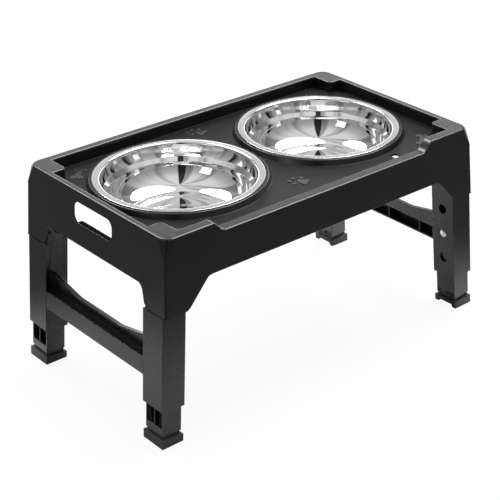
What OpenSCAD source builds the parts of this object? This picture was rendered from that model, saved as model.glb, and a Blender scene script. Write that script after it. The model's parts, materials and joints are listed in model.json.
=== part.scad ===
/* [Tray] */
// Length over the end walls at the mouths of the leg sockets
tray_len = 431.5; // [410:0.5:470]
// Width over the side walls at the mouths of the leg sockets
tray_wid = 246.4; // [240:0.2:270]
// Height of the rim above the ground, legs in their middle setting
rim_top = 228; // [226:0.5:236]
// Height of the socket mouths above the ground
socket_z = 146.5; // [145:0.5:148]
// Lean of the end walls and legs, degrees
end_lean = 4.4; // [3.5:0.1:5]
// Draft of the side walls, degrees
side_draft = 2.0; // [1.2:0.1:2.4]
// Thickness of the moulded walls
tray_wall = 1.6; // [1.4:0.1:2.2]
// Thickness of the top skin over the rim
top_skin = 2.4; // [1.8:0.1:3]
// Corner radius at the rim, which fades out down the corner
rim_corner_r = 13; // [6:0.5:16]
// Height over which the corner radius fades out
corner_fade = 24; // [15:1:40]
// Height of the lower edge of the end walls
end_edge_z = 169.5; // [167:0.5:172]
// Height of the lower edge of the side aprons
apron_edge_z = 175.5; // [175:0.5:180]

/* [Basin] */
// Depth of the basin floor below the rim
basin_depth = 13.8; // [11:0.2:16]
// Thickness of the basin floor
floor_t = 2.4; // [1.8:0.1:3]
// Width of the rim along the back
rim_w_back = 10.4; // [8:0.2:14]
// Width of the rim along the front
rim_w_front = 13; // [9:0.2:15]
// Width of the rim along the ends
rim_w_end = 7.8; // [7:0.2:10]
// Reach of each corner plateau along the length, from the outside of the rim
plateau_x = 24.2; // [20:0.2:28]
// Reach of each corner plateau along the width, from the outside of the rim
plateau_y = 38.4; // [34:0.2:42]
// Corner radius of the plateaus
plateau_r = 6; // [4:0.5:9]
// Half length of the lowered stretch of the front rim
dip_half = 152; // [120:1:160]
// Depth of the lowered stretch
dip_depth = 11; // [6:0.5:11.5]
// Length of the S-curve at each end of the lowered stretch
dip_run = 15; // [8:0.5:20]
// Height of the raised paw prints and bones on the floor
figure_h = 0.7; // [0.4:0.1:1]

/* [Bowls] */
// Distance between the bowl centres
bowl_pitch = 195.6; // [190:0.2:202]
// Offset of the bowl centres towards the back
bowl_y = 6; // [0:0.5:8]
// Radius over the bowl's flange
bowl_r = 90.4; // [86:0.2:91]
// Width of the bowl's flange
flange_w = 8.4; // [6:0.2:9]
// Depth of the bowl below its flange
bowl_depth = 47.5; // [40:0.5:48]
// Depth of the nesting step below the flange
step_depth = 15; // [12:0.5:18]
// Width of the nesting step
step_in = 4.5; // [3:0.1:6]
// Sheet thickness of the bowl
bowl_t = 0.8; // [0.6:0.1:1]
// Height of the collar's seat above the basin floor
collar_h = 6; // [3:0.2:7]
// Gap between the bowl's flange and the collar's lip
flange_gap = 0.6; // [0.3:0.1:1]
// Width of the collar's lip at its top
lip_w = 2.6; // [2:0.1:3]
// Spread of the collar from its lip down to the floor
collar_spread = 3; // [1:0.2:3.4]

/* [Handles] */
// Length of the handle slot
slot_len = 66; // [50:1:80]
// Height of the handle slot
slot_h = 23; // [18:0.5:24]
// Corner radius of the handle slot
slot_r = 8.5; // [5:0.5:9]
// Height of the middle of the handle slot
slot_z = 205; // [203:0.5:206]
// Depth of the lip under the fingers
grip_depth = 7.6; // [4:0.2:9]

/* [Legs] */
// Size of a leg across the length of the stand
leg_t = 27.8; // [27:0.1:28.2]
// Size of a leg across the width of the stand
leg_d = 33; // [31:0.1:34]
// Wall of the outer leg
leg_wall = 2.0; // [1.8:0.1:2.4]
// Splay of the legs across the width, degrees
leg_splay = 1.15; // [0.5:0.05:1.3]
// Height by which the leg stands proud of the end wall
leg_proud = 0.4; // [0.2:0.1:0.8]
// Length of the outer leg below its hinge
leg_len = 120.2; // [116:0.2:120.4]
// Gap between the moving leg and the tray
fold_gap = 0.3; // [0.25:0.05:0.6]
// Height of the folded legs above the socket mouths
fold_lift = 0.85; // [0.5:0.05:1.2]
// Diameter of the hinge pin
pin_d = 6; // [5:0.1:7]
// Radial clearance of the pin in the leg
pin_gap = 0.06; // [0.03:0.01:0.1]
// Thickness of the tray's hinge rib
rib_t = 3.1; // [2.5:0.1:4]

/* [Crossbar] */
// Distance from the hinge down to the top of the crossbar
bar_top = 71; // [64:0.1:74]
// Height of the crossbar's outer plate
bar_h = 20; // [16:0.5:22]
// Thickness of the crossbar's plates
bar_t = 2.4; // [1.8:0.1:3]
// Height of the web above the outer plate
web_rise = 10; // [6:0.5:14]
// Height of the gussets above the outer plate, at the legs
gusset_h = 20; // [15:0.5:24]
// Length of the gussets along the crossbar
gusset_len = 52; // [25:1:60]

/* [Height setting] */
// Distance from the hinge down to the middle setting hole
hole_drop = 65; // [64:0.1:67]
// Pitch of the setting holes
hole_pitch = 31.5; // [26:0.5:32]
// Diameter of the setting holes
hole_d = 11; // [10.6:0.1:12]
// Gap between the inner leg and the outer leg
slide_gap = 0.3; // [0.3:0.05:0.5]
// Wall of the inner leg
inner_wall = 1.6; // [1.4:0.1:2.2]
// Diameter of the lock button
button_d = 9.6; // [9:0.1:10]
// Height by which the button stands proud of the outer leg
button_proud = 1.2; // [0.6:0.1:2]
// Height of the foot cap
cap_h = 9.4; // [8:0.2:10]
// Height of the lower end of the inner leg above the ground
leg_foot = 12.8; // [12:0.2:15]
// Overhang of the foot cap past the leg, across the length and the width
cap_over = [1.6, 2.3]; // [1:0.1:3]

/* [Hidden] */
$fn = 96;
eps = 0.01;
// Overshoot of cutters past the faces that they open
cut = 1;
hull_fn = 32;
figure_fn = 24;
plastic = "#232325";
foot_plastic = "#1a1a1c";
steel = "#c9ccd0";
pin_steel = "#3c3e42";

lean_slope = tan(end_lean);
draft_slope = tan(side_draft);
splay_slope = tan(leg_splay);
function half_len(z) = tray_len / 2 + lean_slope * (socket_z - z);
function half_wid(z) = tray_wid / 2 + draft_slope * (socket_z - z);

// Hinge of each leg: the folded leg lies just above the socket mouths
pivot_z = socket_z + leg_t / 2 + fold_lift;
pivot_x = half_len(pivot_z) - (leg_t / 2 - leg_proud) / cos(end_lean);
// Run of the socket's gusset along the side wall
gusset_run = 25;
fold_wall_y = half_wid(pivot_z + leg_t / 2) - tray_wall;
leg_y = fold_wall_y - fold_gap - splay_slope * (gusset_run + leg_t / 2) - leg_d / 2;
leg_inner_y = leg_y - leg_d / 2;
// Inner face of the end wall, measured outwards from the hinge
end_wall_u = leg_t / 2 - leg_proud - tray_wall;
// Neck of the leg, which turns inside the end wall
neck_r = end_wall_u - fold_gap - leg_d / 2 * splay_slope;
neck_top = neck_r - lean_slope * leg_t / 2;
neck_corner_r = 4;
// Top of the full leg, just under the end wall
shoulder_gap = 0.4;
shoulder = (pivot_z - socket_z) / cos(end_lean) + leg_t / 2 * lean_slope + shoulder_gap;
pin_boss_wall = 2.2;
pin_boss_r = pin_d / 2 + pin_boss_wall;
pin_head_d = pin_d + 3;
pin_head_h = 2;
pin_end_y = leg_y + leg_d / 2 - leg_wall;
pin_end_gap = 0.4;
rib_pin_gap = pin_gap / 3;
rib_gap = 0.5;
rib_y = leg_inner_y - splay_slope * neck_r - rib_gap;
rib_r = 10;

floor_z = rim_top - basin_depth;
basin_back = half_wid(rim_top) - rim_w_back;
basin_front = half_wid(rim_top) - rim_w_front;
basin_end = half_len(rim_top) - rim_w_end;
plateau_in_x = half_len(rim_top) - plateau_x;
plateau_in_y = half_wid(rim_top) - plateau_y;
dip_steps = 12;
// Notch of the end wall's lower edge: its upper bend, and its toe at each socket as points along and up
edge_y = plateau_in_y + 4;
edge_bend_r = 8;
edge_toe = [[2, 4], [7, 0.6], [7, -5]];
// Notch of the apron's lower edge: its upper corner and its toe at each socket, as points along and up
apron_corner = [[-4, 0], [0, -0.9], [2.4, -2.8]];
apron_toe = [[-3, 1.6], [0, -0.2], [0, -5]];
apron_slope_run = gusset_run + 3;
grip_t = 2.6;

// Paw prints: pad and toes, pointing across the middle of the basin
paw_at = [[-4, 91], [-4, -83]];
pad_turn = 28;
pad_round = 2.6;
pad_outline = [[0, 3.6], [-4.4, -3.4], [0, -1.8], [4.4, -3.4]];
toe_r = 2.4;
toe_at = [[4, 8], [-4, 12], [-11.3, 9.4], [-10.6, 1.6]];
// Bones across the corners of the basin
bone_at = [168, 88];
bone_turn = -45;
bone_len = 20;
bone_w = 6;
knob_r = 3.6;
knob_spread = 7.4;
drain_at = [114.5, -100.75];
drain_size = [9, 11.5];
drain_r = 3;

seat_z = floor_z + collar_h;
bowl_x = bowl_pitch / 2;
seat_r = bowl_r + flange_gap;
lip_r = seat_r + lip_w;
lip_z = seat_z + bowl_t / 2;
lip_round = 0.4;
wall_r = bowl_r - flange_w;
flange_bend_r = 2.5;
bowl_clearance = 0.5;
collar_hole_r = wall_r + flange_bend_r + bowl_clearance;
// Depth of the collar's skirt below the basin floor
collar_drop = 4;

// Bends of the bowl's section, each a centre and a radius, on walls that taper by these angles
upper_taper = 8;
lower_taper = 14;
step_slope = 45;
step_bend_r = 1.2;
nest_bend_r = 1.8;
bottom_round = 1.2;
bottom_rise = 1.4;
rim_z = seat_z + bowl_t;
low_z = rim_z - bowl_depth;
flange_bend = [wall_r + flange_bend_r, rim_z - flange_bend_r];
step_z = rim_z - step_depth;
upper_drop = flange_bend.y - step_z + (flange_bend_r + step_bend_r) * sin(upper_taper);
step_x = flange_bend.x - (flange_bend_r + step_bend_r) * cos(upper_taper) - upper_drop * tan(upper_taper);
nest_x = step_x + step_bend_r + nest_bend_r - step_in;
nest_z = step_z - step_in - (sqrt(2) - 1) * (step_bend_r + nest_bend_r);
bottom_bend_r = bottom_round * (nest_z - low_z);
bottom_z = low_z + bowl_t + bottom_bend_r;
lower_drop = nest_z - bottom_z + (nest_bend_r + bottom_bend_r) * sin(lower_taper);
bottom_x = nest_x - (nest_bend_r + bottom_bend_r) * cos(lower_taper) - lower_drop * tan(lower_taper);

inner_t = leg_t - 2 * (leg_wall + slide_gap);
inner_d = leg_d - 2 * (leg_wall + slide_gap);
ground_drop = pivot_z / cos(end_lean);
// Room above the inner leg in its highest setting
travel_gap = 0.5;
inner_top = shoulder + leg_wall + hole_pitch + travel_gap;
inner_end = ground_drop - leg_foot;
window_rib = 1.6;
window_margin = 0.3;
window_w = inner_d / 2 - inner_wall - window_rib / 2 - window_margin;
window_top = leg_len + 1;
window_h = 19.5;
leg_notch_h = 6;

cap_top = ground_drop - cap_h;
cap_size = [inner_t, inner_d] + 2 * cap_over;
cap_sink = 5;
// Neck of the cap, which leaves a groove under the leg, and the plug above it inside the leg
cap_groove = 0.9;
cap_neck = [inner_t - 2 * cap_groove, inner_d - 2 * cap_groove];
plug_gap = 0.1;
plug_size = [inner_t - 2 * (inner_wall + plug_gap), inner_d - 2 * (inner_wall + plug_gap)];
plug_h = 7.5;
plug_wall = 1.8;
cap_notch_w = cap_size.y - 9;
cap_notch_h = 3.2;
cap_notch_slope = 2;

button_flange_r = button_d / 2 + 1.7;
button_flange_t = 1.2;
button_gap = 0.1;
button_root = inner_t / 2 - inner_wall - button_gap;
button_tip = leg_t / 2 + button_proud;
button_hole_d = button_d + 0.4;
button_dome = 1.6;
spring_t = 0.6;
spring_w = 8;
spring_drop = 22;
leaf_over = 6;
clip_seat_gap = 0.05;

// Crossbar: how far it reaches into the legs, and its web, measured outwards from the hinge
bar_reach = leg_inner_y + splay_slope * (bar_top + bar_h) + leg_wall / 2;
bar_step = 0.3;
web_u = 1.2;
ledge_drop = 1.2;
web_flange_w = 5.3;
web_flange_t = 1.5;
bar_rib_t = 1.7;
bar_rib_pitch = 51;

left = -1;
right = 1;
front = -1;
back = 1;

// Points of a circular arc, in order from the first angle to the second
function arc(c, r, a0, a1, n = 8) =
    [for (i = [0 : n]) c + r * [cos(a0 + (a1 - a0) * i / n), sin(a0 + (a1 - a0) * i / n)]];

// A line of points followed by its mirror image, as one closed outline
function mirrored(points) =
    concat(points, [for (i = [len(points) - 1 : -1 : 0]) [-points[i].x, points[i].y]]);

module flip_x(end) {
    if (end < 0) mirror([1, 0, 0]) children();
    else children();
}

module flip_y(side) {
    if (side < 0) mirror([0, 1, 0]) children();
    else children();
}

// Frame of one pair of legs: hinge axis along Y, +X outwards, +Z up the leaning leg
module at_end(end) {
    flip_x(end) translate([pivot_x, 0, pivot_z]) rotate([0, -end_lean, 0]) children();
}

// Frame of one leg: origin on the hinge, +X outwards, +Y away from the middle, +Z up the leg
module at_leg(end, side) {
    at_end(end) flip_y(side) translate([0, leg_y, 0]) rotate([leg_splay, 0, 0]) children();
}

module rounded_rect(size, r) {
    square([size.x - 2 * r, size.y], center = true);
    square([size.x, size.y - 2 * r], center = true);
    for (x = [-1, 1], y = [-1, 1])
        translate([x * (size.x / 2 - r), y * (size.y / 2 - r)]) circle(r);
}

// Block centred on a leg, between two heights
module leg_block(size, low, high) {
    translate([-size.x / 2, -size.y / 2, low]) cube([size.x, size.y, high - low]);
}

// One level of the tray's outline, drawn in by an inset
module outline_layer(z, inset, r) {
    x = half_len(z) - inset;
    y = half_wid(z) - inset;
    translate([0, 0, z]) linear_extrude(eps)
        if (r > 0) for (i = [-1, 1], j = [-1, 1])
            translate([i * (x - r), j * (y - r)]) circle(r, $fn = hull_fn);
        else square([2 * x, 2 * y], center = true);
}

// Drafted block with corners that are sharp below and round at the top
module drafted_block(inset, z0, z1, r) {
    hull() {
        outline_layer(z0, inset, 0);
        outline_layer(rim_top - corner_fade, inset, 0);
        outline_layer(z1 - eps, inset, r);
    }
}

// Plan of the basin, with the four corner plateaus left standing
module basin_plan(grow) {
    r = plateau_r - grow;
    x0 = plateau_in_x + grow;
    y0 = plateau_in_y + grow;
    translate([-basin_end - grow, -y0]) square([2 * (basin_end + grow), 2 * y0]);
    translate([-x0, -basin_front - grow]) square([2 * x0, basin_front + basin_back + 2 * grow]);
    for (i = [-1, 1], j = [-1, 1]) scale([i, j]) translate([x0, y0]) difference() {
        translate([-eps, -eps]) square(r + eps);
        translate([r, r]) circle(r);
    }
}

// Notches that shape the lower edges of the end walls, between the sockets
module end_edge_cut() {
    bend = arc([edge_y - edge_bend_r - cut, end_edge_z - edge_bend_r], edge_bend_r, 90, 10);
    toe = [for (p = edge_toe) [edge_y, socket_z] + p];
    rotate([90, 0, 90]) linear_extrude(tray_len * 2, center = true) polygon(mirrored(concat(bend, toe)));
}

// Notches that shape the lower edges of the side aprons, with a gusset at each socket
module apron_cut() {
    leg_edge = pivot_x - leg_t / 2 + lean_slope * (pivot_z - socket_z);
    corner = [for (p = apron_corner) [leg_edge - apron_slope_run, apron_edge_z] + p];
    toe = [for (p = apron_toe) [leg_edge, socket_z] + p];
    rotate([90, 0, 0]) linear_extrude(tray_wid * 2, center = true) polygon(mirrored(concat(corner, toe)));
}

// S-curved dip of the front rim, as a cutter
module front_dip() {
    low = rim_top - dip_depth;
    function s_curve(t) = [dip_half - dip_run * (1 - t), low + dip_depth * (1 - cos(180 * t)) / 2];
    curve = [for (i = [0 : dip_steps]) s_curve(i / dip_steps)];
    translate([0, -basin_front + tray_wall, 0]) rotate([90, 0, 0])
        linear_extrude(rim_w_front * 2) polygon(mirrored(concat(curve, [[dip_half, rim_top + cut]])));
}

// Raised ring that carries a bowl, with a rebate for its flange
module collar_ring() {
    base = floor_z - floor_t;
    skirt_r = collar_hole_r + tray_wall;
    foot_r = lip_r + collar_spread;
    skirt = [[collar_hole_r, base - collar_drop], [skirt_r, base - collar_drop], [skirt_r, base]];
    slope = [[foot_r, base], [foot_r, floor_z], [lip_r + lip_round, lip_z - lip_round], [lip_r - lip_round, lip_z]];
    rebate = [[seat_r, lip_z], [seat_r, seat_z], [collar_hole_r, seat_z]];
    rotate_extrude() polygon(concat(skirt, slope, rebate));
}

module paw_plan() {
    rotate(pad_turn) offset(r = pad_round) polygon(pad_outline);
    for (p = toe_at) translate(p) circle(toe_r);
}

module bone_plan() {
    square([bone_len, bone_w], center = true);
    for (i = [-1, 1], j = [-1, 1]) translate([i * bone_len, j * knob_spread] / 2) circle(knob_r);
}

// Raised figures on the basin floor
module floor_figures() {
    translate([0, 0, floor_z - floor_t / 2]) linear_extrude(floor_t / 2 + figure_h, $fn = figure_fn) {
        for (p = paw_at) translate(p) paw_plan();
        for (i = [-1, 1], j = [-1, 1]) scale([i, j]) translate(bone_at) rotate(bone_turn) bone_plan();
    }
}

// Rib beside each leg that holds its hinge pin
module hinge_rib() {
    top = floor_z - floor_t / 2;
    translate([0, rib_y, 0]) rotate([90, 0, 0]) linear_extrude(rib_t) difference() {
        union() {
            circle(rib_r);
            translate([-rib_r, 0]) square([rib_r + end_wall_u + tray_wall / 2, top - pivot_z]);
        }
        circle(pin_d / 2 + rib_pin_gap);
    }
}

// Lip inside the lower edge of a handle slot
module grip_lip() {
    z = slot_z - slot_h / 2;
    translate([half_len(z) - grip_depth, -slot_len / 2 + slot_r / 2, z - grip_t])
        cube([grip_depth - tray_wall / 2, slot_len - slot_r, grip_t]);
}

module handle_cut() {
    depth = rim_w_end - tray_wall / 2;
    translate([half_len(slot_z) - depth / 2 - eps, 0, slot_z]) rotate([90, 0, 90])
        linear_extrude(depth) rounded_rect([slot_len, slot_h], slot_r);
}

module collar_hole() {
    base = floor_z - floor_t - collar_drop - cut;
    translate([0, 0, base]) cylinder(r = collar_hole_r, h = seat_z + cut - base);
}

module drain_hole() {
    translate([drain_at.x, drain_at.y, floor_z - floor_t - cut])
        linear_extrude(floor_t + 2 * cut, $fn = figure_fn) rounded_rect(drain_size, drain_r);
}

module tray() {
    color(plastic) difference() {
        union() {
            // Skirt and rim as one thin moulding, then cut open for the basin
            difference() {
                drafted_block(0, socket_z, rim_top, rim_corner_r);
                difference() {
                    drafted_block(tray_wall, socket_z - cut, rim_top - top_skin, rim_corner_r - tray_wall);
                    // Solid bar below the dip of the front rim
                    translate([-dip_half - dip_run / 2, -tray_wid, floor_z - floor_t])
                        cube([2 * dip_half + dip_run, tray_wid - basin_front, basin_depth + floor_t]);
                }
                translate([0, 0, floor_z]) linear_extrude(basin_depth * 2) basin_plan(0);
                end_edge_cut();
                apron_cut();
            }
            // Basin floor and the inner walls of the rim
            difference() {
                translate([0, 0, floor_z - floor_t]) linear_extrude(basin_depth + floor_t - top_skin / 2)
                    basin_plan(tray_wall);
                translate([0, 0, floor_z]) linear_extrude(basin_depth * 2) basin_plan(0);
            }
            floor_figures();
            for (end = [left, right]) {
                translate([end * bowl_x, bowl_y, 0]) collar_ring();
                flip_x(end) grip_lip();
                at_end(end) for (side = [front, back]) flip_y(side) hinge_rib();
            }
        }
        front_dip();
        drain_hole();
        for (end = [left, right]) {
            translate([end * bowl_x, bowl_y, 0]) collar_hole();
            flip_x(end) handle_cut();
        }
    }
}

// Half section of a bowl: flange, tapered wall, sloping nesting step and wide round bottom
module bowl_section() {
    step_bend = [step_x, step_z];
    nest_bend = [nest_x, nest_z];
    bottom_bend = [bottom_x, bottom_z];
    inside = concat(
        [[bowl_r, rim_z]],
        arc(flange_bend, flange_bend_r, 90, 180 - upper_taper, 5),
        arc(step_bend, step_bend_r, -upper_taper, -step_slope, 3),
        arc(nest_bend, nest_bend_r, 180 - step_slope, 180 - lower_taper, 3),
        arc(bottom_bend, bottom_bend_r, -lower_taper, -90, 9),
        [[0, low_z + bowl_t + bottom_rise]]);
    outside = concat(
        [[0, low_z + bottom_rise]],
        arc(bottom_bend, bottom_bend_r + bowl_t, -90, -lower_taper, 9),
        arc(nest_bend, nest_bend_r - bowl_t, 180 - lower_taper, 180 - step_slope, 3),
        arc(step_bend, step_bend_r + bowl_t, -step_slope, -upper_taper, 3),
        arc(flange_bend, flange_bend_r - bowl_t, 180 - upper_taper, 90, 5),
        [[bowl_r, rim_z - bowl_t]]);
    polygon(concat(inside, outside));
}

module bowl(end) {
    color(steel) translate([end * bowl_x, bowl_y, 0]) rotate_extrude() bowl_section();
}

// Section of the leg's neck, which turns about the pin inside the socket and roots in the leg below
module neck_section(inset, root) {
    r = neck_r - inset;
    inner = leg_t / 2 - inset;
    top = neck_top - inset;
    corner = neck_corner_r - inset / 2;
    circle(r);
    translate([-inner, -shoulder - root]) square([inner + r, shoulder + root]);
    translate([-inner, -cut]) square([inner, top - corner + cut]);
    translate([-inner + corner, -cut]) square([inner - corner, top + cut]);
    translate([-inner + corner, top - corner]) circle(corner);
}

module outer_leg() {
    cavity = [leg_t - 2 * leg_wall, leg_d - 2 * leg_wall];
    difference() {
        union() {
            leg_block([leg_t, leg_d], -leg_len, -shoulder);
            rotate([90, 0, 0]) linear_extrude(leg_d, center = true) neck_section(0, leg_wall / 2);
        }
        leg_block(cavity, -leg_len - cut, -shoulder - leg_wall);
        rotate([90, 0, 0]) linear_extrude(cavity.y, center = true) neck_section(leg_wall, leg_wall + cut);
        for (i = [-1 : 1]) translate([0, 0, -hole_drop + i * hole_pitch])
            rotate([0, -90, 0]) cylinder(d = hole_d, h = leg_t);
    }
}

// Crossbar: a channel open inwards, and a flanged web above it that rises in a gusset at each leg
module crossbar() {
    face = leg_t / 2 - bar_step;
    back_face = face - bar_t;
    low = -bar_top - bar_h;
    ledge = -bar_top - ledge_drop;
    web_top = -bar_top + web_rise;
    edge = web_u + bar_step;
    channel = [[back_face, -bar_top], [face, -bar_top], [face, low], [web_u, low], [web_u, low + bar_t],
        [back_face, low + bar_t], [back_face, ledge - bar_t], [edge, ledge - bar_t], [edge, ledge], [back_face, ledge]];
    top_line = [[bar_reach - gusset_len, web_top], [bar_reach, -bar_top + gusset_h]];
    web = concat(top_line, [[bar_reach, ledge - bar_t / 2]]);
    flange = concat([for (p = top_line) p + [0, bar_step]],
        [for (i = [1 : -1 : 0]) top_line[i] - [0, web_flange_t]]);
    rotate([90, 0, 0]) linear_extrude(2 * bar_reach, center = true) polygon(channel);
    translate([web_u, 0, 0]) rotate([90, 0, 90]) linear_extrude(bar_t) polygon(mirrored(web));
    translate([web_u - bar_step, 0, 0]) rotate([90, 0, 90]) linear_extrude(web_flange_w) {
        for (i = [0, 1]) mirror([i, 0]) polygon(flange);
        translate([-top_line[0].x - eps, web_top - web_flange_t])
            square([2 * (top_line[0].x + eps), web_flange_t + bar_step]);
    }
    // Upright ribs in the recess on the inner side
    for (i = [-1 : 1]) translate([edge, i * bar_rib_pitch - bar_rib_t / 2, low + bar_t / 2])
        cube([back_face + bar_t / 2 - edge, bar_rib_t, ledge - low - bar_t]);
}

module leg_frame(end) {
    color(plastic) difference() {
        union() {
            for (side = [front, back]) {
                at_leg(end, side) outer_leg();
                at_end(end) flip_y(side) translate([0, leg_inner_y + leg_wall / 2, 0]) rotate([-90, 0, 0])
                    cylinder(r = pin_boss_r, h = leg_d - leg_wall);
            }
            at_end(end) crossbar();
        }
        for (side = [front, back]) at_end(end) flip_y(side) translate([0, leg_inner_y - cut, 0])
            rotate([-90, 0, 0]) cylinder(d = pin_d + 2 * pin_gap, h = pin_end_y + pin_end_gap - leg_inner_y + cut);
    }
}

// Hollow sliding leg, with two windows on its outer face and two notches at the foot of its inner face
module inner_leg(end, side) {
    cavity = [inner_t - 2 * inner_wall, inner_d - 2 * inner_wall];
    color(plastic) at_leg(end, side) difference() {
        leg_block([inner_t, inner_d], -inner_end, -inner_top);
        leg_block(cavity, -inner_end - cut, -inner_top + cut);
        translate([0, 0, -hole_drop]) rotate([0, -90, 0]) cylinder(d = button_hole_d, h = inner_t);
        for (i = [-1, 1]) translate([0, i * (window_w + window_rib) / 2 - window_w / 2, 0]) {
            translate([0, 0, -window_top - window_h]) cube([inner_t, window_w, window_h]);
            translate([-inner_t, 0, -inner_end - cut]) cube([inner_t, window_w, leg_notch_h + cut]);
        }
    }
}

// Foot with a plug inside the sliding leg, flat on the ground, with a notch under its inner side
module foot_cap(end, side) {
    half_w = cap_notch_w / 2;
    notch_top = -ground_drop + cap_size.x / 2 * lean_slope + cap_notch_h;
    notch_low = -ground_drop - cap_sink - cut;
    color(foot_plastic) difference() {
        at_leg(end, side) difference() {
            union() {
                leg_block(cap_size, -ground_drop - cap_sink, -cap_top);
                leg_block(cap_neck, -cap_top - cut, -inner_end);
                leg_block(plug_size, -inner_end - cut, -inner_end + plug_h);
            }
            leg_block(plug_size - 2 * plug_wall * [1, 1], -cap_top, -inner_end + plug_h + cut);
            translate([-cap_size.x / 2 - cut, 0, 0]) rotate([90, 0, 90]) linear_extrude(cap_size.x / 3)
                polygon([[-half_w, notch_low], [half_w, notch_low],
                    [half_w - cap_notch_slope, notch_top], [cap_notch_slope - half_w, notch_top]]);
        }
        translate([-tray_len, -tray_wid, -tray_len]) cube([2 * tray_len, 2 * tray_wid, tray_len]);
    }
}

// Half section of the clip's domed button, with the flange that stops it behind the wall of the inner leg
module button_section() {
    r = button_d / 2;
    base = button_root - button_flange_t;
    polygon(concat([[0, base], [button_flange_r, base], [button_flange_r, button_root], [r, button_root]],
        [for (i = [0 : 5]) [r * cos(18 * i), button_tip - button_dome * (1 - sin(18 * i))]]));
}

// Hairpin leaf of the clip, from the button's rivet round to the far wall of the inner leg
module clip_leaf() {
    near_x = -button_root + button_flange_t - spring_t / 2;
    far_x = inner_t / 2 - inner_wall - clip_seat_gap;
    bend_r = (far_x - near_x) / 2;
    translate([near_x, -spring_drop]) square([spring_t, spring_drop + leaf_over]);
    translate([far_x - spring_t, -spring_drop]) square([spring_t, spring_drop + leaf_over]);
    translate([near_x + bend_r, -spring_drop]) difference() {
        circle(bend_r);
        circle(bend_r - spring_t);
        translate([-bend_r, 0]) square([2 * bend_r, bend_r]);
    }
}

// Snap clip in the inner leg: a hairpin leaf spring with its button riveted on
module snap_clip(end, side) {
    color(steel) at_leg(end, side) translate([0, 0, -hole_drop]) {
        rotate([0, -90, 0]) rotate_extrude($fn = 48) button_section();
        rotate([90, 0, 0]) linear_extrude(spring_w, center = true) clip_leaf();
    }
}

// Pin with a flat head, pushed outwards through the hinge rib into the leg
module hinge_pin(end, side) {
    head_y = rib_y - rib_t;
    color(pin_steel) at_end(end) flip_y(side) rotate([-90, 0, 0]) {
        translate([0, 0, head_y - pin_head_h]) cylinder(d = pin_head_d, h = pin_head_h);
        translate([0, 0, head_y - pin_head_h]) cylinder(d = pin_d, h = pin_end_y - head_y + pin_head_h);
    }
}

tray();
bowl(left);  // bowl_left
bowl(right);  // bowl_right
leg_frame(left);  // leg_frame_left
leg_frame(right);  // leg_frame_right
inner_leg(left, front);  // inner_leg_front_left
inner_leg(right, front);  // inner_leg_front_right
inner_leg(left, back);  // inner_leg_back_left
inner_leg(right, back);  // inner_leg_back_right
foot_cap(left, front);  // foot_cap_front_left
foot_cap(right, front);  // foot_cap_front_right
foot_cap(left, back);  // foot_cap_back_left
foot_cap(right, back);  // foot_cap_back_right
snap_clip(left, front);  // snap_clip_front_left
snap_clip(right, front);  // snap_clip_front_right
snap_clip(left, back);  // snap_clip_back_left
snap_clip(right, back);  // snap_clip_back_right
hinge_pin(left, front);  // hinge_pin_front_left
hinge_pin(right, front);  // hinge_pin_front_right
hinge_pin(left, back);  // hinge_pin_back_left
hinge_pin(right, back);  // hinge_pin_back_right
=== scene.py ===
# %% [markdown]
# Raised dog feeder stand: a black moulded tray on folding H-frame legs, with two stainless bowls.
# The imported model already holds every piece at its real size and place, in metres. The stand could
# be modelled again from nothing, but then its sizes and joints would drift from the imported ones. So
# this lesson never moves those pieces. It eases their edges, spins the bowls as smooth sheet metal,
# and gives each surface a finish that is made of nodes.

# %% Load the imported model
import json
from math import cos, degrees, pi, radians, sin, sqrt, tan

import bmesh
import bpy
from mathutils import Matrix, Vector

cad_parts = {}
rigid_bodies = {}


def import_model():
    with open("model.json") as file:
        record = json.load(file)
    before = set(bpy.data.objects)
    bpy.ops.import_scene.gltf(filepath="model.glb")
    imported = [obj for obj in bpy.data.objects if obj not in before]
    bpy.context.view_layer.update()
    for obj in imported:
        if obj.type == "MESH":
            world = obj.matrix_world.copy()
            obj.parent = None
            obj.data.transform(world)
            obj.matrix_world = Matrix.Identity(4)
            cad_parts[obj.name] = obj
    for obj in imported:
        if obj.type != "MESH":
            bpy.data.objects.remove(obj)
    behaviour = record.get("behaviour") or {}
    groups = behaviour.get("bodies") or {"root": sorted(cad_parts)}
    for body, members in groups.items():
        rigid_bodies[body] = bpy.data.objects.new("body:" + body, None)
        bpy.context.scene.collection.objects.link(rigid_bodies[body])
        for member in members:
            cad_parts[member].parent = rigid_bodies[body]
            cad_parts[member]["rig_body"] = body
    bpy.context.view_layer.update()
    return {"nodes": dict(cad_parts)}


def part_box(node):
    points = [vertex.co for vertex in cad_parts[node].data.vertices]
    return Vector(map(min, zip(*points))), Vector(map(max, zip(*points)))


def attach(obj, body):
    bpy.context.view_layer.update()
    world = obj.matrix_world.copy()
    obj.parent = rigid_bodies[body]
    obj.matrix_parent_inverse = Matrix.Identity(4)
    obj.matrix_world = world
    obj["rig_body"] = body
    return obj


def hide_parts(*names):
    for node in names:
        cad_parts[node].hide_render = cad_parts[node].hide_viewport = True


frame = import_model()
scene = bpy.context.scene
scene.view_settings.view_transform = "Standard"

# %% [markdown]
# The camera stands in front of the left end and looks down on the tray. It could be placed by eye,
# but a bearing, an elevation and a distance can be corrected one at a time, so its place is worked
# out from those. A long lens keeps the perspective gentle, as in product photography. The
# picture's middle isn't on the lens axis, so a small shift frames the stand without turning the
# camera.

# %% Camera
PICTURE_PX = 500
SENSOR_MM = 36
FOCAL_PX = 1418.0
SHIFT_RIGHT_PX = 48.0
SHIFT_UP_PX = 1.8
AZIMUTH = radians(-41.433)
ELEVATION = radians(27.585)
CAMERA_DISTANCE = 1.5229
LOOK_AT = Vector((-0.00075, -0.0711, 0.130))

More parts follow.
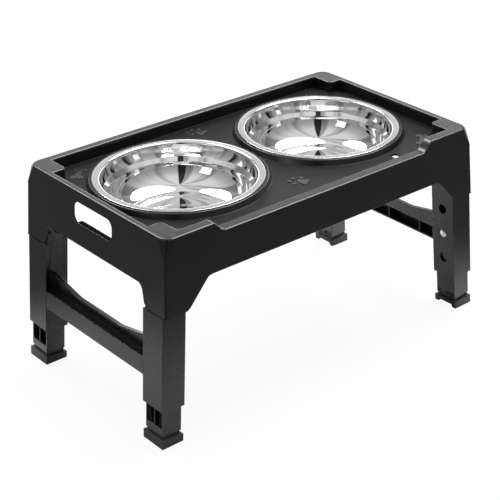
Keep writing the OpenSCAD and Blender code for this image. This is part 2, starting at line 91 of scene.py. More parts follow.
toward_camera = Vector((
    sin(AZIMUTH) * cos(ELEVATION), -cos(AZIMUTH) * cos(ELEVATION), sin(ELEVATION)))
lens = bpy.data.cameras.new("picture_camera")
lens.sensor_width = SENSOR_MM
lens.lens = FOCAL_PX * SENSOR_MM / PICTURE_PX
lens.shift_x = -SHIFT_RIGHT_PX / PICTURE_PX
lens.shift_y = -SHIFT_UP_PX / PICTURE_PX
camera = bpy.data.objects.new("picture_camera", lens)
camera.location = LOOK_AT + toward_camera * CAMERA_DISTANCE
camera.rotation_mode = "QUATERNION"
camera.rotation_quaternion = (-toward_camera).to_track_quat("-Z", "Y")
scene.collection.objects.link(camera)
scene.camera = camera
print("lens:", round(lens.lens, 1), "mm")

# %% [markdown]
# Materials, shared effects and the studio's light are all trees of nodes. They could be drawn by
# hand in the node editor, but a script can be read, corrected and run again. One helper makes a
# node, sets its options and links or fills in its inputs. The others wrap the nodes that turn up
# most, so that each finish stays short enough to read.

# %% Node helpers
def add_node(tree, kind, inputs=None, **options):
    node = tree.nodes.new(kind)
    for name, value in options.items():
        setattr(node, name, value)
    for name, value in (inputs or {}).items():
        if isinstance(value, bpy.types.NodeSocket):
            tree.links.new(value, node.inputs[name])
        else:
            node.inputs[name].default_value = value
    return node


def calc(tree, operation, a, b=0.0):
    node = add_node(tree, "ShaderNodeMath", {0: a, 1: b}, operation=operation)
    return node.outputs["Value"]


def vector_calc(tree, operation, a, b=(0, 0, 0)):
    return add_node(tree, "ShaderNodeVectorMath", {0: a, 1: b}, operation=operation).outputs


def remap(tree, value, source=(0.0, 1.0), target=(0.0, 1.0)):
    inputs = {"Value": value, 1: source[0], 2: source[1], 3: target[0], 4: target[1]}
    return add_node(tree, "ShaderNodeMapRange", inputs).outputs["Result"]


def blend(tree, factor, a, b):
    node = add_node(tree, "ShaderNodeMix", {"Factor": factor, 6: a, 7: b}, data_type="RGBA")
    return node.outputs[2]


helpers = (add_node, calc, vector_calc, remap, blend)
print("node helpers:", ", ".join(helper.__name__ for helper in helpers))

# %% [markdown]
# A product picture is taken on a sweep of white paper. A bent sheet could be modelled, but a flat
# floor under a white sky looks the same to the lens.

# %% Floor plate
FLOOR_HALF = 1.6

floor_mesh = bpy.data.meshes.new("floor")
corners = [(x * FLOOR_HALF, y * FLOOR_HALF, 0) for x, y in [(-1, -1), (1, -1), (1, 1), (-1, 1)]]
floor_mesh.from_pydata(corners, [], [(0, 1, 2, 3)])
floor = bpy.data.objects.new("floor", floor_mesh)
scene.collection.objects.link(floor)
print("floor:", 2 * FLOOR_HALF, "m square")

# %% [markdown]
# The lens sees most of the floor as plain white, and a share of real shading keeps the contact
# shadow. One white for everything would turn the black sides grey, so the plastic sees another
# floor in its sheen. That one is dim further out, as if black cards lay there. It is pale close to
# the feet, where it brightens the legs, and behind, where rounded edges catch it.

# %% Floor paint
WHITE = (1, 1, 1, 1)
FLOOR_DIM, FLOOR_PALE = (0.12, 0.12, 0.12, 1), (0.9, 0.9, 0.9, 1)
FLOOR_WHITE_SHARE = 0.93
PALE_BEHIND = (0.2, 1.2)
NEAR_HALF = Vector((0.34, 0.24, 1.0))
NEAR_FADE = (0.9, 1.4)

away = Vector((-sin(AZIMUTH), cos(AZIMUTH), 0))
paint = bpy.data.materials.new("white_sweep")
paint.use_nodes = True
tree = paint.node_tree
tree.nodes.clear()
to_lens = add_node(tree, "ShaderNodeLightPath").outputs["Is Camera Ray"]
spot = add_node(tree, "ShaderNodeNewGeometry").outputs["Position"]
behind = remap(tree, vector_calc(tree, "DOT_PRODUCT", spot, away)["Value"], PALE_BEHIND)
ring = vector_calc(tree, "LENGTH", vector_calc(tree, "DIVIDE", spot, NEAR_HALF)["Vector"])
near = remap(tree, ring["Value"], NEAR_FADE, (1.0, 0.0))
pale = calc(tree, "MAXIMUM", calc(tree, "MAXIMUM", behind, near), to_lens)
tone = blend(tree, pale, FLOOR_DIM, FLOOR_PALE)
matt = add_node(tree, "ShaderNodeBsdfDiffuse", {"Color": tone})
white = add_node(tree, "ShaderNodeEmission", {"Color": WHITE, "Strength": 1.0})
share = calc(tree, "MULTIPLY", to_lens, FLOOR_WHITE_SHARE)
mixed = add_node(tree, "ShaderNodeMixShader", {0: share, 1: matt.outputs[0], 2: white.outputs[0]})
add_node(tree, "ShaderNodeOutputMaterial", {"Surface": mixed.outputs[0]})
floor_mesh.materials.append(paint)
print("floor paint:", len(tree.nodes), "nodes")

# %% [markdown]
# Polished steel only looks like steel when it has something to mirror, and in a studio that is a
# ring of white panels. A picture of a studio could be wrapped round the scene, but nodes need no
# file, and each band can be set on its own. So the sky is drawn by height and bearing: pale
# overhead, darker towards the horizon, with gaps of uneven width between its panels, and with a
# dark tripod where the camera is.

# %% Studio panels
TONE_BY_HEIGHT = [(0.0, 0.32), (0.25, 0.42), (0.55, 0.60), (0.80, 0.95), (1.0, 1.0)]
PANEL_GAPS = [(0.40, 0.45), (0.50, 1.0)]
PANEL_SCALE, PANEL_DETAIL = 1.7, 1.5
TRIPOD_HALF_ANGLE, TRIPOD_FADE, TRIPOD_TONE = radians(6), 1.3, 0.04


def ramp(tree, value, stops):
    node = add_node(tree, "ShaderNodeValToRGB", {"Fac": value})
    spots = node.color_ramp.elements
    while len(spots) < len(stops):
        spots.new(0.5)
    for spot, (place, grey) in zip(spots, stops):
        spot.position = place
        spot.color = (grey, grey, grey, 1)
    return node.outputs["Color"]


studio = bpy.data.worlds.new("studio")
scene.world = studio
studio.use_nodes = True
tree = studio.node_tree
tree.nodes.clear()
direction = add_node(tree, "ShaderNodeTexCoord").outputs["Generated"]
axes = add_node(tree, "ShaderNodeSeparateXYZ", {0: direction}).outputs
height = ramp(tree, axes["Z"], TONE_BY_HEIGHT)
bearing = calc(tree, "ARCTAN2", axes["Y"], axes["X"])
uneven = {"W": bearing, "Scale": PANEL_SCALE, "Detail": PANEL_DETAIL}
spread = add_node(tree, "ShaderNodeTexNoise", uneven, noise_dimensions="1D")
gaps = ramp(tree, spread.outputs["Fac"], PANEL_GAPS)
aside = calc(tree, "ABSOLUTE", calc(tree, "SUBTRACT", bearing, AZIMUTH - pi / 2))
tripod_edge = TRIPOD_HALF_ANGLE * TRIPOD_FADE
tripod = ramp(tree, aside, [(TRIPOD_HALF_ANGLE, TRIPOD_TONE), (tripod_edge, 1.0)])
panels = calc(tree, "MULTIPLY", calc(tree, "MULTIPLY", height, gaps), tripod)
print("studio tones:", len(TONE_BY_HEIGHT))

# %% [markdown]
# Behind the stand the white sweep rises a little above the horizon, and rounded plastic edges catch
# it as thin bright lines. A lamp could stand there, but it would light the basin too, while a band
# of sky shows mostly in the sheen. The level faces of the tray mirror what is higher up, so a dark
# card hangs above the sweep and keeps them dark. The lens itself still sees plain white.

# %% Sweep and dark card
SWEEP_SIDES, SWEEP_TOP, SWEEP_STRENGTH = (0.4, 0.8), (0.10, 0.30), 5.0
CARD_BY_HEIGHT = [(0.28, 1.0), (0.36, 0.36), (0.62, 0.36), (0.72, 1.0)]
STUDIO_STRENGTH = 0.8

back = remap(tree, vector_calc(tree, "DOT_PRODUCT", direction, away)["Value"], SWEEP_SIDES)
under = remap(tree, axes["Z"], SWEEP_TOP, (1.0, 0.0))
sweep = calc(tree, "MULTIPLY", calc(tree, "MULTIPLY", back, under), SWEEP_STRENGTH)
shade = blend(tree, back, WHITE, ramp(tree, axes["Z"], CARD_BY_HEIGHT))
lit = calc(tree, "ADD", calc(tree, "MULTIPLY", panels, shade), sweep)
sky = add_node(tree, "ShaderNodeBackground", {"Color": lit, "Strength": STUDIO_STRENGTH})
plain = add_node(tree, "ShaderNodeBackground", {"Color": WHITE, "Strength": 1.0})
to_lens = add_node(tree, "ShaderNodeLightPath").outputs["Is Camera Ray"]
both = add_node(tree, "ShaderNodeMixShader", {0: to_lens, 1: sky.outputs[0], 2: plain.outputs[0]})
add_node(tree, "ShaderNodeOutputWorld", {"Surface": both.outputs[0]})
print("studio:", len(tree.nodes), "nodes")

# %% [markdown]
# Lamps with a large face give the tray its soft gradient and the bowls their bright patches. A sun
# or a point lamp would throw hard shadows, so each one is an area lamp that looks at the tray. The
# two on the ceiling do most of the work. The two at the back and the left only lift some edges.

# %% Softboxes
TRAY_MIDDLE = Vector((0, 0, 0.2))
SOFTBOXES = {
    "right_ceiling_softbox": ("ELLIPSE", (1.0, 0.15, 2.0), (1.5, 1.5), 64),
    "back_ceiling_softbox": ("ELLIPSE", (-0.05, 1.6, 2.0), (1.2, 1.2), 42),
    "back_softbox": ("RECTANGLE", (1.7, 1.9, 1.5), (2.2, 1.1), 5),
    "left_softbox": ("RECTANGLE", (-1.9, -0.2, 0.9), (0.6, 1.0), 2),
}


def softbox(name, shape, place, size, watts):
    lamp = bpy.data.lights.new(name, "AREA")
    lamp.shape = shape
    lamp.size, lamp.size_y = size
    lamp.energy = watts
    box = bpy.data.objects.new(name, lamp)
    box.location = place
    box.rotation_mode = "QUATERNION"
    box.rotation_quaternion = (TRAY_MIDDLE - Vector(place)).to_track_quat("-Z", "Y")
    scene.collection.objects.link(box)


for name, setting in SOFTBOXES.items():
    softbox(name, *setting)
print("softboxes:", len(bpy.data.lights))

# %% [markdown]
# Three effects turn up in more than one finish: the grain of moulded parts, a painted highlight along
# their edges, and on faces that look up a dusty film mixed with a painted sheen. Each could be copied
# into every material, but then one change has to be made many times. So each is a node group, built
# once and placed in a material with its own values.

# %% Group helpers
def new_group(name, inputs, outputs):
    group = bpy.data.node_groups.new(name, "ShaderNodeTree")
    sockets = group.interface
    for label, default in inputs.items():
        socket = sockets.new_socket(label, in_out="INPUT", socket_type="NodeSocketFloat")
        socket.default_value = default
    for label in outputs:
        sockets.new_socket(label, in_out="OUTPUT", socket_type="NodeSocketFloat")
    given = add_node(group, "NodeGroupInput").outputs
    made = add_node(group, "NodeGroupOutput").inputs
    return group, given, made


def place_group(tree, group, **values):
    node = add_node(tree, "ShaderNodeGroup", node_tree=group)
    for label, value in values.items():
        node.inputs[label.replace("_", " ")].default_value = value
    return node.outputs


def noise(tree, place, scale, detail):
    inputs = {"Vector": place, "Scale": scale, "Detail": detail}
    return add_node(tree, "ShaderNodeTexNoise", inputs).outputs["Fac"]


helpers = (new_group, place_group, noise)
print("group helpers:", ", ".join(helper.__name__ for helper in helpers))

# %% [markdown]
# The moulds of such parts are spark-eroded, which leaves a fine even grain on the plastic, and its
# tone is never quite the same all over. Real bumps would take millions of faces. So the grain is
# noise: a fine one for the height, and a slow one for the mottle.

# %% Moulded grain
GRAIN_SCALE, GRAIN_DETAIL = 2600.0, 3.0
MOTTLE_SCALE, MOTTLE_DETAIL = 38.0, 4.0

moulded_grain, given, made = new_group(
    "moulded_grain", {"Grain Scale": GRAIN_SCALE}, ["Height", "Mottle"])
spot = add_node(moulded_grain, "ShaderNodeTexCoord").outputs["Object"]
fine = noise(moulded_grain, spot, given["Grain Scale"], GRAIN_DETAIL)
slow = noise(moulded_grain, spot, MOTTLE_SCALE, MOTTLE_DETAIL)
moulded_grain.links.new(fine, made["Height"])
moulded_grain.links.new(slow, made["Mottle"])
print("group:", moulded_grain.name, len(moulded_grain.nodes), "nodes")

# %% [markdown]
# Black plastic is painted paler along its edges. This is a painted highlight that helps the thin
# bright lines which rounded edges catch. The paler band could be painted on each piece by hand. A
# Bevel node finds the edges by itself: it gives the normal of a rounder edge, and the more that
# differs from the true normal, the nearer the edge is.

# %% Painted edge highlight
EDGE_HIGHLIGHT_WIDTH, EDGE_HIGHLIGHT_SAMPLES, EDGE_HIGHLIGHT_GAIN = 0.0012, 4, 6.0

painted_edge_highlight, given, made = new_group("painted_edge_highlight", {"Edge Width": EDGE_HIGHLIGHT_WIDTH}, ["Mask"])
width = given["Edge Width"]
rounder = add_node(painted_edge_highlight, "ShaderNodeBevel", {"Radius": width}, samples=EDGE_HIGHLIGHT_SAMPLES)
true = add_node(painted_edge_highlight, "ShaderNodeNewGeometry").outputs["Normal"]
facing = vector_calc(painted_edge_highlight, "DOT_PRODUCT", rounder.outputs[0], true)["Value"]
turned = calc(painted_edge_highlight, "SUBTRACT", 1.0, facing)
painted_edge_highlight.links.new(calc(painted_edge_highlight, "MULTIPLY", turned, EDGE_HIGHLIGHT_GAIN), made["Mask"])
print("group:", painted_edge_highlight.name, len(painted_edge_highlight.nodes), "nodes")

# %% [markdown]
# Faces that look up are painted a little paler. Partly this is a thin dusty film, and partly a
# painted sheen that stands in for the light from above. Single specks would be too small to see, so
# the film is a soft cloud of noise. It is multiplied by how far a face looks up, and a power keeps
# it off the sloping ones.

# %% Dusty film and painted top sheen
DUST_SHEEN_SCALE, DUST_SHEEN_DETAIL, DUST_SHEEN_POWER = 55.0, 6.0, 3.0

dust_and_top_sheen, given, made = new_group("dust_and_top_sheen", {"Patch Scale": DUST_SHEEN_SCALE}, ["Mask"])
normal = add_node(dust_and_top_sheen, "ShaderNodeNewGeometry").outputs["Normal"]
up = add_node(dust_and_top_sheen, "ShaderNodeSeparateXYZ", {0: normal}).outputs["Z"]
spot = add_node(dust_and_top_sheen, "ShaderNodeTexCoord").outputs["Object"]
cloud = noise(dust_and_top_sheen, spot, given["Patch Scale"], DUST_SHEEN_DETAIL)
lying = calc(dust_and_top_sheen, "POWER", calc(dust_and_top_sheen, "MAXIMUM", up, 0.0), DUST_SHEEN_POWER)
dust_and_top_sheen.links.new(calc(dust_and_top_sheen, "MULTIPLY", lying, cloud), made["Mask"])
print("groups:", [group.name for group in bpy.data.node_groups])

# %% [markdown]
# The tray and legs are black polypropylene with a satin skin. A flat black would be quick to make,
# but what one sees on a part that dark is mostly the soft sheen of the studio, so roughness and
# grain matter more than paint. One recipe mixes the three effects.

# %% Recipe for black plastic
# The second colour is the paler tone that random mottle, the painted edge highlight, and the dusty
# film with its painted top sheen lean towards.
BLACK, PALE_AND_LIT = (0.005, 0.005, 0.0055, 1), (0.024, 0.024, 0.026, 1)
MOTTLE_SHARE, EDGE_HIGHLIGHT_SHARE = 0.35, 0.6
ROUGHNESS_SPREAD = 0.05
GRAIN_STRENGTH = 0.25


def new_finish(name):
    material = bpy.data.materials.new(name)
    material.use_nodes = True
    tree = material.node_tree
    return material, tree, tree.nodes["Principled BSDF"].inputs


def around(middle, spread):
    return middle - spread, middle + spread


def bump(tree, height, strength, depth):
    inputs = {"Height": height, "Strength": strength, "Distance": depth}
    return add_node(tree, "ShaderNodeBump", inputs).outputs["Normal"]


def black_moulding(name, roughness, grain_scale, grain_depth, dust_and_sheen_share):
    material, tree, skin = new_finish(name)
    grain = place_group(tree, moulded_grain, Grain_Scale=grain_scale)
    edge_highlight = place_group(tree, painted_edge_highlight)["Mask"]
    dust_and_sheen = place_group(tree, dust_and_top_sheen)["Mask"]
    mottle = remap(tree, grain["Mottle"], target=(0.0, MOTTLE_SHARE))
    # Painted light: a paler tone for the edge highlight and for the sheen on top, mixed with mottle
    # and a dusty film.
    mottle_and_painted_light = calc(tree, "ADD", mottle, calc(tree, "MULTIPLY", edge_highlight, EDGE_HIGHLIGHT_SHARE))
    mottle_and_painted_light = calc(tree, "ADD", mottle_and_painted_light, calc(tree, "MULTIPLY", dust_and_sheen, dust_and_sheen_share))
    rough = remap(tree, grain["Mottle"], target=around(roughness, ROUGHNESS_SPREAD))
    tree.links.new(blend(tree, mottle_and_painted_light, BLACK, PALE_AND_LIT), skin["Base Color"])
    tree.links.new(rough, skin["Roughness"])
    tree.links.new(bump(tree, grain["Height"], GRAIN_STRENGTH, grain_depth), skin["Normal"])
    return material


print("black plastic: mottle", MOTTLE_SHARE, "edge_highlight", EDGE_HIGHLIGHT_SHARE)

# %% [markdown]
# The same recipe gives four finishes. The tray is a little glossier than the legs, the foot caps
# are dull rubber, and the floor of the basin is matt. The basin's weak sheen is the same all over,
# so it isn't a node: it is set on the shader's own socket, where an export can read it.

# %% Black plastics
BASIN_SPECULAR = 0.08

leg_plastic = black_moulding(
    "satin_black_plastic", roughness=0.27, grain_scale=2600, grain_depth=0.00008, dust_and_sheen_share=0.5)
tray_plastic = black_moulding(
    "satin_black_tray", roughness=0.24, grain_scale=2600, grain_depth=0.00008, dust_and_sheen_share=0.5)
basin_plastic = black_moulding(
    "matt_black_basin", roughness=0.41, grain_scale=1700, grain_depth=0.00012, dust_and_sheen_share=0.3)
foot_rubber = black_moulding(
    "dull_black_rubber", roughness=0.5, grain_scale=1900, grain_depth=0.00012, dust_and_sheen_share=0.3)
basin_skin = basin_plastic.node_tree.nodes["Principled BSDF"]
basin_skin.inputs["Specular IOR Level"].default_value = BASIN_SPECULAR
plastics = (leg_plastic, tray_plastic, basin_plastic, foot_rubber)
print("plastics:", ", ".join(plastic.name for plastic in plastics))

# %% [markdown]
# The bowls are spun and polished stainless sheet, so fine rings run round each bowl's own axis. The
# shader's anisotropy could imitate them, but it would need a tangent all over the bowl. So the
# rings are noise that changes only with the radius and the height. Both bowls stand at the same
# distance from the middle, so one formula with the absolute X gives the radius in either.

# %% Rings round a bowl
low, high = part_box("bowl_right")
BOWL_MIDDLE = Vector(((low.x + high.x) / 2, (low.y + high.y) / 2, 0))
BOWL_RADIUS = (high.x - low.x) / 2
RIM_Z = high.z
BASE_Z = low.z
RING_SCALE, RING_DETAIL = 1500.0, 2.0


def bowl_rings(tree):
    place = add_node(tree, "ShaderNodeTexCoord").outputs["Object"]
    axes = add_node(tree, "ShaderNodeSeparateXYZ", {0: place}).outputs
    across = calc(tree, "SUBTRACT", calc(tree, "ABSOLUTE", axes["X"]), BOWL_MIDDLE.x)
    along = calc(tree, "SUBTRACT", axes["Y"], BOWL_MIDDLE.y)
    squares = [calc(tree, "POWER", side, 2.0) for side in (across, along)]
    radius = calc(tree, "SQRT", calc(tree, "ADD", *squares))
    spot = add_node(tree, "ShaderNodeCombineXYZ", {"X": radius, "Y": axes["Z"]})
    return radius, noise(tree, spot.outputs[0], RING_SCALE, RING_DETAIL)


print("bowl radius:", round(BOWL_RADIUS * 1000, 1), "mm")

# %% [markdown]
# Polishing stops at the flange, which keeps a satin ring. The flange could be a piece of its own,
# but it is the same sheet as the bowl, so one material changes from mirror to satin at that radius.
# The ring's tone is also painted darker there, as painted shade that holds its bright reflection
# down; the steel itself is the same.

# %% Bowl steel
FLANGE_WIDTH, FLANGE_FADE = 0.0084, 0.001
MIRROR_ROUGH, SATIN_ROUGH, RING_ROUGH = 0.02, 0.14, 0.04
MIRROR_TONES = (0.80, 0.80, 0.81, 1), (0.88, 0.88, 0.88, 1)
# The satin tones are darker than the mirror ones only as painted shade on the flange.
SATIN_SHADED_TONES = (0.58, 0.57, 0.56, 1), (0.74, 0.73, 0.72, 1)
RING_STRENGTH, RING_DEPTH = 0.04, 0.0002


def polished_bowl(name):
    material, tree, skin = new_finish(name)
    radius, rings = bowl_rings(tree)
    flange = remap(tree, radius, around(BOWL_RADIUS - FLANGE_WIDTH, FLANGE_FADE))
    satin = remap(tree, flange, target=(MIRROR_ROUGH, SATIN_ROUGH))
    rough = calc(tree, "ADD", satin, calc(tree, "MULTIPLY", rings, RING_ROUGH))
    mirror_tone = blend(tree, rings, *MIRROR_TONES)
    satin_shaded_tone = blend(tree, rings, *SATIN_SHADED_TONES)
    tree.links.new(blend(tree, flange, mirror_tone, satin_shaded_tone), skin["Base Color"])
    tree.links.new(rough, skin["Roughness"])
    tree.links.new(bump(tree, rings, RING_STRENGTH, RING_DEPTH), skin["Normal"])
    skin["Metallic"].default_value = 1.0
    return material


bowl_steel = polished_bowl("spun_stainless")
print("bowl steel:", bowl_steel.name)

# %% [markdown]
# The snap clips are bright spring steel, and the hinge pins are blackened steel. They are small,
# and little of them shows, so rings or scratches would be lost on them. The moulded grain, set
# coarser, breaks up their gloss and tone instead.

# %% Clip and pin steel
STEEL_GRAIN_SCALE = 900
STEEL_ROUGHNESS_SPREAD = 0.06
STEEL_DEEPER = 0.9


def plain_steel(name, tint, roughness):
    material, tree, skin = new_finish(name)
    grain = place_group(tree, moulded_grain, Grain_Scale=STEEL_GRAIN_SCALE)
    rough = remap(tree, grain["Height"], target=around(roughness, STEEL_ROUGHNESS_SPREAD))
    pale, deep = [*tint, 1], [*(tone * STEEL_DEEPER for tone in tint), 1]
    tree.links.new(blend(tree, grain["Mottle"], pale, deep), skin["Base Color"])
    tree.links.new(rough, skin["Roughness"])
    skin["Metallic"].default_value = 1.0
    return material


clip_steel = plain_steel("bright_spring_steel", (0.72, 0.72, 0.73), 0.24)
pin_steel = plain_steel("blackened_steel", (0.03, 0.03, 0.032), 0.45)
print("small steels:", clip_steel.name, pin_steel.name)

# %% [markdown]
# Moulded edges are never sharp: each one has a small radius that catches a thin bright line. The
# solids could have these radii, but that would only add faces there. So every rigid piece is
# copied, and the copy is eased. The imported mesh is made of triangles, which are first joined back
# into flat faces. A joined face can't have a hole in it, so a piece is cut along planes through its
# holes before that, and the cuts stay as seams.

# %% Flat faces
MERGE_DISTANCE = 2e-6
FLAT_ANGLE = radians(0.4)


def cut_through(bm, axis, place):
    point, normal = Vector(), Vector()
    point[axis] = place
    normal[axis] = 1
    everything = bm.verts[:] + bm.edges[:] + bm.faces[:]
    made = bmesh.ops.bisect_plane(
        bm, geom=everything, dist=MERGE_DISTANCE, plane_co=point, plane_no=normal)
    for item in made["geom_cut"]:
        if isinstance(item, bmesh.types.BMEdge):
            item.seam = True


def flat_faced(source, cuts):
    bm = bmesh.new()
    bm.from_mesh(source.data)
    bmesh.ops.remove_doubles(bm, verts=bm.verts, dist=MERGE_DISTANCE)
    for axis, place in cuts:
        for side in (-1, 1):
            cut_through(bm, axis, side * place)
    bmesh.ops.dissolve_limit(
        bm, angle_limit=FLAT_ANGLE, verts=bm.verts, edges=bm.edges, delimit={"SEAM"})
    bm.normal_update()
    return bm


print("faces joined below:", round(degrees(FLAT_ANGLE), 1), "degrees")

# %% [markdown]
# On real mouldings outer edges are rounder than inner corners, and thin ribs are rounded less than
# thick walls. One bevel width for a whole piece would eat its ribs. So each sharp edge has a width
# of its own: the piece's width for such edges, or a share of the narrower face beside it where that
# is less. A face that is rooted in a corner on its far side can give a larger share. The drain hole
# lies so close to the wall of the dip that its edge is hardly eased.

# %% Widths of the eased edges
SHARP_ANGLE = radians(28)
CONVEX_SHARE, ROOTED_SHARE, HOLLOW_SHARE = 0.45, 0.7, 0.25
FAR_SHARE = 0.5
DRAIN_X, DRAIN_Y, DRAIN_REACH, DRAIN_EASE = 0.1145, -0.1008, 0.008, 0.0001


def off_line(vert, edge):
    start = edge.verts[0].co
    along = (edge.verts[1].co - start).normalized()
    return (vert.co - start).cross(along).length


def face_reach(edge, face):
    return max(off_line(vert, edge) for vert in face.verts)


def is_rooted(edge, face):
    far = FAR_SHARE * face_reach(edge, face)
    across = [side for side in face.edges if all(off_line(vert, edge) > far for vert in side.verts)]
    # A sharp outer edge on the far side is eased too, so such a face has less to give.
    free = [side for side in across if side.is_convex and side.calc_face_angle(0) > SHARP_ANGLE]
    return bool(across) and not free


def by_drain(edge):
    middle = (edge.verts[0].co + edge.verts[1].co) / 2
    return Vector((abs(middle.x) - DRAIN_X, middle.y - DRAIN_Y)).length < DRAIN_REACH


def ease_width(edge, outer, hollow):
    narrow = min(edge.link_faces, key=lambda face: face_reach(edge, face))
    reach = face_reach(edge, narrow)
    if not edge.is_convex:
        return min(hollow, HOLLOW_SHARE * reach)
    if by_drain(edge):
        return DRAIN_EASE
    share = ROOTED_SHARE if is_rooted(edge, narrow) else CONVEX_SHARE
    return min(outer, share * reach)


print("edges eased above:", round(degrees(SHARP_ANGLE), 1), "degrees")

# %% [markdown]
# The floor of the basin and the collars round the bowls have a matt grain. They could be a piece of
# their own, but on the real tray they are the same moulding, so their faces only take the piece's
# last material. A face belongs to them if it looks up and lies at the floor's height, which is
# repeated here from the part's source, or near the edge of a bowl.

# %% Basin faces
BASIN_FLOOR_Z, FLOOR_SLACK = 0.2142, 0.0003
COLLAR_REACH = 0.014
LOOKS_UP = 0.97


def on_collar(face):
    spots = [Vector((abs(vert.co.x), vert.co.y, 0)) - BOWL_MIDDLE for vert in face.verts]
    return all(abs(spot.length - BOWL_RADIUS) < COLLAR_REACH for spot in spots)


def in_basin(face):
    on_floor = abs(face.calc_center_median().z - BASIN_FLOOR_Z) < FLOOR_SLACK
    return face.normal.z > LOOKS_UP and (on_floor or on_collar(face))


print("basin floor:", BASIN_FLOOR_Z, "m above the ground")

# %% [markdown]
# The easing itself is a Bevel modifier. Rounding the faces in code would be long, while the
# modifier only needs a weight on each edge. A Weighted Normal modifier after it keeps the wide
# faces flat, so that the shading turns within the bevel alone. Each copy then stands for its packed
# piece: it rides on the same body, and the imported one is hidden.

# %% Eased copy of a piece
def stand_for(piece, node):
    scene.collection.objects.link(piece)
    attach(piece, frame["nodes"][node]["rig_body"])
    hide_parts(node)


def ease_edges(piece, width, segments):
    bevel = piece.modifiers.new("eased_edges", "BEVEL")
    bevel.limit_method = "WEIGHT"
    bevel.width = width
    bevel.segments = segments
    bevel.use_clamp_overlap = False
    bevel.face_strength_mode = "FSTR_ALL"
    normals = piece.modifiers.new("flat_faces", "WEIGHTED_NORMAL")
    normals.use_face_influence = True


def eased_copy(node, materials, slot, widths, segments, cuts):
    bm = flat_faced(frame["nodes"][node], cuts)
    weight = bm.edges.layers.float.new("bevel_weight_edge")
    for edge in bm.edges:
        if len(edge.link_faces) == 2 and edge.calc_face_angle(0) > SHARP_ANGLE:
            edge[weight] = ease_width(edge, *widths) / max(widths)
    for face in bm.faces:
        face.smooth = True
        face.material_index = len(materials) - 1 if in_basin(face) else 0
    mesh = bpy.data.meshes.new(node + "_eased")
    bm.to_mesh(mesh)
    bm.free()
    for material in materials:
        mesh.materials.append(material)
    piece = bpy.data.objects.new(node + "_eased", mesh)
    ease_edges(piece, max(widths), segments)
    stand_for(piece, node)


print("pieces to stand for:", len(frame["nodes"]))

# %% [markdown]
# The 19 rigid pieces come in six families, and the pieces of one family share a finish, so a table
# is shorter and easier to correct than 19 calls. Widths are those of outer edges and of inner
# corners. Each cut is an axis and a distance from the middle, and it is made on both sides. These
# distances repeat the ones in the part's source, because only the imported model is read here.

# %% The rigid pieces
MM = 0.001
X, Y = 0, 1
HINGE = (X, 0.2011)
PAWS, BONES, DRAIN = (X, 0.004), (X, 0.168), (X, DRAIN_X)
BOWLS = (Y, BOWL_MIDDLE.y)
SETTING_HOLES, FOOT = (Y, 0.1043), (Y, 0.1063)
WINDOWS = [(Y, 0.1005), (Y, 0.1110)]
FINISHES = {
    "tray": dict(
        materials=[tray_plastic, basin_plastic], slot="black_plastic",
        widths=(2.0 * MM, 0.6 * MM), segments=4, cuts=[BOWLS, PAWS, BONES, DRAIN, HINGE]),
    "leg_frame": dict(
        materials=[leg_plastic], slot="black_plastic",
        widths=(0.6 * MM, 0.3 * MM), segments=2, cuts=[SETTING_HOLES, HINGE]),
    "inner_leg": dict(
        materials=[leg_plastic], slot="black_plastic",
        widths=(0.6 * MM, 0.4 * MM), segments=2, cuts=WINDOWS),
    "foot_cap": dict(
        materials=[foot_rubber], slot="black_rubber",
        widths=(0.9 * MM, 0.5 * MM), segments=2, cuts=[FOOT]),
    "snap_clip": dict(
        materials=[clip_steel], slot="spring_steel",
        widths=(0.2 * MM, 0.2 * MM), segments=2, cuts=[SETTING_HOLES]),
    "hinge_pin": dict(
        materials=[pin_steel], slot="black_steel",
        widths=(0.4 * MM, 0.4 * MM), segments=2, cuts=[HINGE]),
}
for node in sorted(frame["nodes"]):
    for family, finish in FINISHES.items():
        if node.startswith(family):
            eased_copy(node, **finish)

# %% [markdown]
# A bowl is one pressed sheet that is round about its axis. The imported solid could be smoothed, but
# its bends would stay angular in the mirror, so the bowl is made again from a half section. That
# follows the sheet from the rolled rim over the flange, down the upper wall, along the sloping
# nesting step and round the wide bottom, and comes back one sheet thickness outside. Each bend is a
# circle that the straight wall above it touches, so the wall runs into it without a kink.

# %% Bends of the bowl
SHEET = 0.0008
FLANGE_BEND, STEP_BEND, NEST_BEND = 0.0025, 0.0012, 0.0018
UPPER_TAPER, STEP_SLOPE, LOWER_TAPER = 8, 45, 14
STEP_DEPTH, STEP_WIDTH = 0.015, 0.0045
BOTTOM_ROUND, BOTTOM_RISE = 1.2, 0.0014


def next_bend(middle, radius, next_z, next_radius, taper):
    angle = radians(taper)
    drop = middle[1] - next_z + (radius + next_radius) * sin(angle)
    return (middle[0] - (radius + next_radius) * cos(angle) - drop * tan(angle), next_z)


flange = (BOWL_RADIUS - FLANGE_WIDTH + FLANGE_BEND, RIM_Z - FLANGE_BEND)
step = next_bend(flange, FLANGE_BEND, RIM_Z - STEP_DEPTH, STEP_BEND, UPPER_TAPER)
bends = STEP_BEND + NEST_BEND
nest = (step[0] + bends - STEP_WIDTH, step[1] - STEP_WIDTH - (sqrt(2) - 1) * bends)
wide = BOTTOM_ROUND * (nest[1] - BASE_Z)
bottom = next_bend(nest, NEST_BEND, BASE_Z + SHEET + wide, wide, LOWER_TAPER)
print("radius of the bottom's bend:", round(wide * 1000, 1), "mm")

# %% [markdown]
# The section is a list of points, the inside first and then the outside. A curve with handles
# could be drawn, but arcs between known angles keep the sheet equally thick in every bend.

# %% Half section of the bowl
BEND_STEPS, FLANGE_STEPS, BOTTOM_STEPS = 6, 8, 24
RIM_STEPS, RIM_STOP = 5, 60


def arc(middle, radius, start, stop, steps=BEND_STEPS):
    turns = [radians(start + (stop - start) * i / steps) for i in range(steps + 1)]
    return [(middle[0] + radius * cos(a), middle[1] + radius * sin(a)) for a in turns]


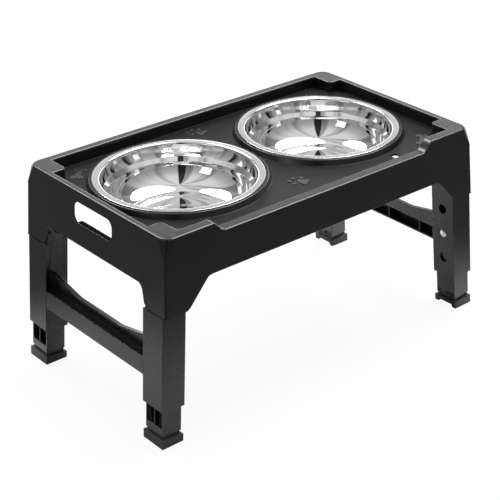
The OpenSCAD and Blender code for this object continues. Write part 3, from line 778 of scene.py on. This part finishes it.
rim = (BOWL_RADIUS - SHEET / 2, RIM_Z - SHEET / 2)
section = [(BOWL_RADIUS - SHEET / 2, RIM_Z)]
section += arc(flange, FLANGE_BEND, 90, 180 - UPPER_TAPER, FLANGE_STEPS)
section += arc(step, STEP_BEND, -UPPER_TAPER, -STEP_SLOPE)
section += arc(nest, NEST_BEND, 180 - STEP_SLOPE, 180 - LOWER_TAPER)
section += arc(bottom, wide, -LOWER_TAPER, -90, BOTTOM_STEPS)
section += [(0, BASE_Z + SHEET + BOTTOM_RISE), (0, BASE_Z + BOTTOM_RISE)]
section += arc(bottom, wide + SHEET, -90, -LOWER_TAPER, BOTTOM_STEPS)
section += arc(nest, NEST_BEND - SHEET, 180 - LOWER_TAPER, 180 - STEP_SLOPE)
section += arc(step, STEP_BEND + SHEET, -STEP_SLOPE, -UPPER_TAPER)
section += arc(flange, FLANGE_BEND - SHEET, 180 - UPPER_TAPER, 90, FLANGE_STEPS)
section += arc(rim, SHEET / 2, -90, RIM_STOP, RIM_STEPS)
print("section points:", len(section))

# %% [markdown]
# The section is turned about the bowl's axis in small steps. A Screw modifier could do that too,
# but then the points on the axis have to be merged afterwards. In code each point of the section
# gives one ring of points, and the two that lie on the axis stay single.

# %% Spun bowls
SPIN_STEPS = 192


def ring_points(bm, middle, radius, z):
    if radius == 0:
        return [bm.verts.new((*middle, z))]
    x, y = middle
    turns = [2 * pi * i / SPIN_STEPS for i in range(SPIN_STEPS)]
    return [bm.verts.new((x + radius * cos(a), y + radius * sin(a), z)) for a in turns]


def spun_bowl(node, side):
    bm = bmesh.new()
    middle = (side * BOWL_MIDDLE.x, BOWL_MIDDLE.y)
    rings = [ring_points(bm, middle, radius, z) for radius, z in section]
    for near, far in zip(rings, rings[1:] + rings[:1]):
        if len(near) == 1 and len(far) == 1:
            continue
        for i in range(SPIN_STEPS):
            j = (i + 1) % SPIN_STEPS
            quad = [near[i % len(near)], near[j % len(near)], far[j % len(far)], far[i % len(far)]]
            bm.faces.new(list(dict.fromkeys(quad))).smooth = True
    bmesh.ops.recalc_face_normals(bm, faces=bm.faces)
    mesh = bpy.data.meshes.new(node + "_spun")
    bm.to_mesh(mesh)
    bm.free()
    mesh.materials.append(bowl_steel)
    stand_for(bpy.data.objects.new(node + "_spun", mesh), node)
    return len(mesh.polygons)


print("bowl faces:", spun_bowl("bowl_left", -1), spun_bowl("bowl_right", 1))
